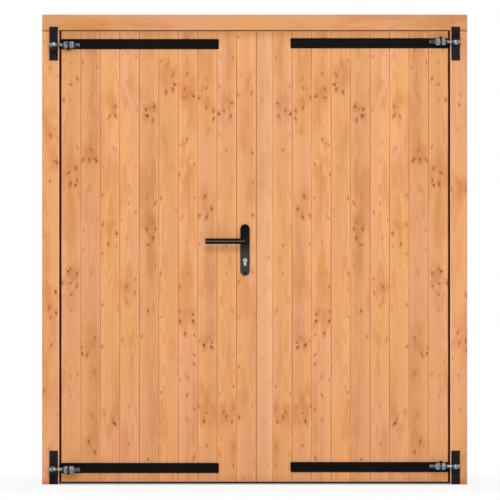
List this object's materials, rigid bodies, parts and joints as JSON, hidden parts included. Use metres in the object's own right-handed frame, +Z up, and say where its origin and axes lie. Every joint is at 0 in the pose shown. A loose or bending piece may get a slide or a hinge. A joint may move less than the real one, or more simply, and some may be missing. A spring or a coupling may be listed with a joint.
{
  "type": "double wooden gate",
  "caption": "Double wooden gate: boarded and braced leaves in a post and rail frame, hung on eyebolt strap hinges, with a lever handle, a key lock and slide bolts",
  "frame": {"origin": "on the floor, under the middle of the gate's bounding box, which is also the mid-thickness of the closed leaves", "axes": "+Z up the posts, +X to the right seen from the front, and the front with its hinges faces -Y"},
  "size_m": [1.9, 0.205, 2.1],
  "materials": {
    "stained_softwood": "knotty softwood with a satin honey-coloured stain",
    "black_coated_steel": "fine black powder coat",
    "zinc_plated_steel": "bright zinc plating",
    "nickel_plated_brass": "satin nickel plating",
    "black_rubber": "matt black sealing strip"
  },
  "bodies": {
    "frame": {"left_post": "stained_softwood", "right_post": "stained_softwood", "head_rail": "stained_softwood", "left_stop": "stained_softwood", "right_stop": "stained_softwood", "head_stop": "stained_softwood", "stop_seals": "black_rubber", "threshold_bar": "black_coated_steel", "frame_screws": "zinc_plated_steel", "left_pin_plates": "black_coated_steel", "right_pin_plates": "black_coated_steel", "hinge_pins": "zinc_plated_steel", "pin_plate_screws": "black_coated_steel"},
    "left_leaf": {"left_boards": "stained_softwood", "left_lapping_board": "stained_softwood", "left_hinge_stile": "stained_softwood", "left_lock_stile": "stained_softwood", "left_top_rail": "stained_softwood", "left_middle_rail": "stained_softwood", "left_bottom_rail": "stained_softwood", "left_braces": "stained_softwood", "left_straps": "black_coated_steel", "left_eyebolts": "zinc_plated_steel", "left_eye_nuts": "zinc_plated_steel", "left_strap_bolts": "black_coated_steel", "lock_case": "zinc_plated_steel", "lock_cover": "zinc_plated_steel", "lock_faceplate": "zinc_plated_steel", "faceplate_screws": "zinc_plated_steel", "outer_handle_plate": "black_coated_steel", "inner_handle_plate": "black_coated_steel", "handle_plate_bolts": "black_coated_steel", "cylinder_body": "nickel_plated_brass", "latch_spring": "zinc_plated_steel"},
    "right_leaf": {"right_boards": "stained_softwood", "right_meeting_board": "stained_softwood", "right_hinge_stile": "stained_softwood", "right_meeting_stile": "stained_softwood", "right_top_rail": "stained_softwood", "right_middle_rail": "stained_softwood", "right_bottom_rail": "stained_softwood", "right_braces": "stained_softwood", "right_straps": "black_coated_steel", "right_eyebolts": "zinc_plated_steel", "right_eye_nuts": "zinc_plated_steel", "right_strap_bolts": "black_coated_steel", "meeting_seal": "black_rubber", "strike_plate": "zinc_plated_steel", "strike_plate_screws": "zinc_plated_steel", "slide_bolt_housings": "black_coated_steel", "slide_bolt_screws": "black_coated_steel"},
    "lever": {"outer_lever": "black_coated_steel", "inner_lever": "black_coated_steel", "spindle": "zinc_plated_steel", "follower": "zinc_plated_steel"},
    "latch": {"latch_bolt": "zinc_plated_steel"},
    "deadbolt": {"dead_bolt": "zinc_plated_steel"},
    "plug": {"cylinder_plug": "nickel_plated_brass"},
    "upper_bolt": {"top_slide_bolt": "black_coated_steel"},
    "lower_bolt": {"bottom_slide_bolt": "black_coated_steel"}
  },
  "joints": [
    {"name": "left_leaf_swing", "type": "hinge", "parent": "frame", "child": "left_leaf", "pos_m": [-0.898, -0.06, 0], "axis": [0, 0, -1], "range_deg": [0, 175]},
    {"name": "right_leaf_swing", "type": "hinge", "parent": "frame", "child": "right_leaf", "pos_m": [0.898, -0.06, 0], "axis": [0, 0, 1], "range_deg": [0, 175]},
    {"name": "lever_turn", "type": "hinge", "parent": "left_leaf", "child": "lever", "pos_m": [-0.043, 0, 1.087], "axis": [0, -1, 0], "range_deg": [0, 38], "stiffness_Nm_per_rad": 1.5, "springref_deg": -91.67},
    {"name": "latch_slide", "type": "slide", "parent": "left_leaf", "child": "latch", "axis": [-1, 0, 0], "range_m": [0, 0.014], "deforming": ["latch_spring"]},
    {"name": "plug_turn", "type": "hinge", "parent": "left_leaf", "child": "plug", "pos_m": [-0.043, 0, 1.002], "axis": [0, -1, 0], "range_deg": [0, 360]},
    {"name": "deadbolt_slide", "type": "slide", "parent": "left_leaf", "child": "deadbolt", "axis": [1, 0, 0], "range_m": [0, 0.02]},
    {"name": "upper_bolt_slide", "type": "slide", "parent": "right_leaf", "child": "upper_bolt", "axis": [0, 0, 1], "range_m": [0, 0.024]},
    {"name": "lower_bolt_slide", "type": "slide", "parent": "right_leaf", "child": "lower_bolt", "axis": [0, 0, -1], "range_m": [0, 0.014]}
  ],
  "couplings": [
    {"joint": "latch_slide", "follows": "lever_turn", "m_per_rad": 0.0211},
    {"joint": "plug_turn", "follows": "deadbolt_slide", "rad_per_m": 314.15}
  ]
}
